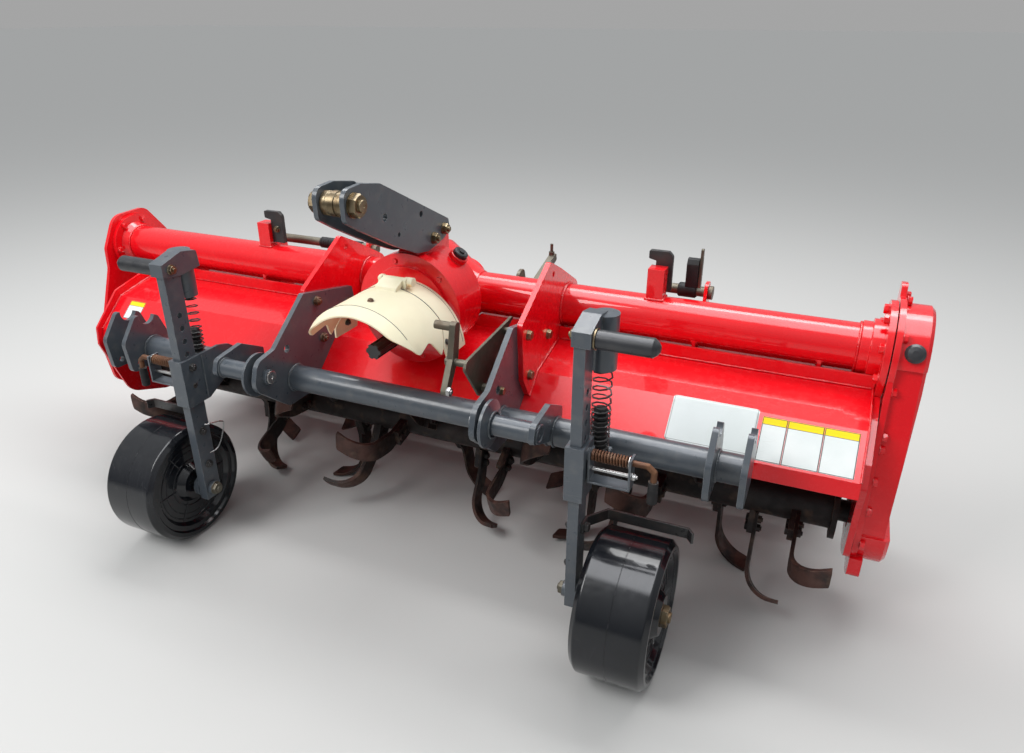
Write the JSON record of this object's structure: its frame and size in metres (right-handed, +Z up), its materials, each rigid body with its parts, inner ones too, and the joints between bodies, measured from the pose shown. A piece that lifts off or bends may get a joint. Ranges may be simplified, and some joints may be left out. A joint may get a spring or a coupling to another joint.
{
  "type": "rotary tiller",
  "caption": "Red rotary tiller for a tractor's three-point linkage, with gauge wheels, a tined rotor under a hood, a chain case and a hinged levelling board.",
  "frame": {"origin": "on the floor, below the middle of the whole machine's bounding box", "axes": "+X along the machine to the chain case side, +Y away from the tractor, +Z up"},
  "size_m": [2.207, 0.9687, 0.937],
  "materials": {
    "red_paint": "gloss",
    "grey_paint": "satin",
    "bare_steel": "satin",
    "worn_steel": "rough",
    "black_steel": "satin",
    "cream_plastic": "gloss",
    "black_plastic": "matte",
    "black_rubber": "matte"
  },
  "bodies": {
    "frame": {"frame_tube_left": "red_paint", "frame_tube_right": "red_paint", "gearbox": "red_paint", "oil_plugs": "black_plastic", "guard_base": "cream_plastic", "mast": "grey_paint", "top_link_pin": "bare_steel", "hitch_plates": "red_paint", "hitch_arms": "grey_paint", "lower_hitch_pins": "grey_paint", "cross_tube": "grey_paint", "end_plates_left": "grey_paint", "end_plates_right": "grey_paint", "leg_sleeves": "grey_paint", "lock_brackets": "grey_paint", "lock_pins": "bare_steel", "leg_springs": "black_steel", "spring_boots": "black_rubber", "hood": "red_paint", "hood_end_left": "red_paint", "side_plate_left": "red_paint", "side_plate_right": "red_paint", "chain_case": "red_paint", "hook_posts": "red_paint", "post_hooks": "black_steel", "rear_rods": "bare_steel", "rear_sleeves": "black_rubber", "lever_plate": "bare_steel", "crank_lever": "bare_steel"},
    "input_shaft": {"input_shaft": "black_steel"},
    "shaft_guard": {"shaft_guard": "cream_plastic"},
    "leg_left": {"gauge_leg_left": "grey_paint", "axle_left": "grey_paint", "grip_left": "black_plastic", "scraper_left": "black_steel"},
    "leg_right": {"gauge_leg_right": "grey_paint", "axle_right": "grey_paint", "grip_right": "black_plastic", "scraper_right": "black_steel"},
    "wheel_left": {"gauge_wheel_left": "black_plastic"},
    "wheel_right": {"gauge_wheel_right": "black_plastic"},
    "rotor": {"rotor_shaft": "worn_steel", "rotor_tines": "worn_steel"},
    "rear_cover": {"rear_cover": "red_paint"},
    "levelling_board": {"levelling_board": "bare_steel"}
  },
  "joints": [
    {"name": "rotor_spin", "type": "hinge", "parent": "frame", "child": "rotor", "pos_m": [0.0425, 0.05, 0.235], "axis": [1, 0, 0], "continuous": true},
    {"name": "input_spin", "type": "hinge", "parent": "frame", "child": "input_shaft", "pos_m": [0.0425, -0.276, 0.575], "axis": [0, -1, 0], "continuous": true},
    {"name": "guard_hinge", "type": "hinge", "parent": "frame", "child": "shaft_guard", "pos_m": [0.0425, -0.176, 0.704], "axis": [-1, 0, 0], "range_deg": [0, 25]},
    {"name": "leg_slide_left", "type": "slide", "parent": "frame", "child": "leg_left", "axis": [0, 0, 1], "range_m": [-0.06, 0.06], "deforming": ["leg_springs"]},
    {"name": "leg_slide_right", "type": "slide", "parent": "frame", "child": "leg_right", "axis": [0, 0, 1], "range_m": [-0.06, 0.06]},
    {"name": "wheel_spin_left", "type": "hinge", "parent": "leg_left", "child": "wheel_left", "pos_m": [-0.5515, -0.335, 0.1495], "axis": [1, 0, 0], "continuous": true},
    {"name": "wheel_spin_right", "type": "hinge", "parent": "leg_right", "child": "wheel_right", "pos_m": [0.6365, -0.335, 0.1495], "axis": [1, 0, 0], "continuous": true},
    {"name": "cover_hinge", "type": "hinge", "parent": "frame", "child": "rear_cover", "pos_m": [0.0425, 0.29657, 0.39512], "axis": [1, 0, 0], "range_deg": [0, 40]},
    {"name": "board_hinge", "type": "hinge", "parent": "rear_cover", "child": "levelling_board", "pos_m": [0.0425, 0.33978, 0.14935], "axis": [1, 0, 0], "range_deg": [-15, 60]}
  ],
  "couplings": [
    {"joint": "input_spin", "follows": "rotor_spin", "ratio": 2.7}
  ]
}
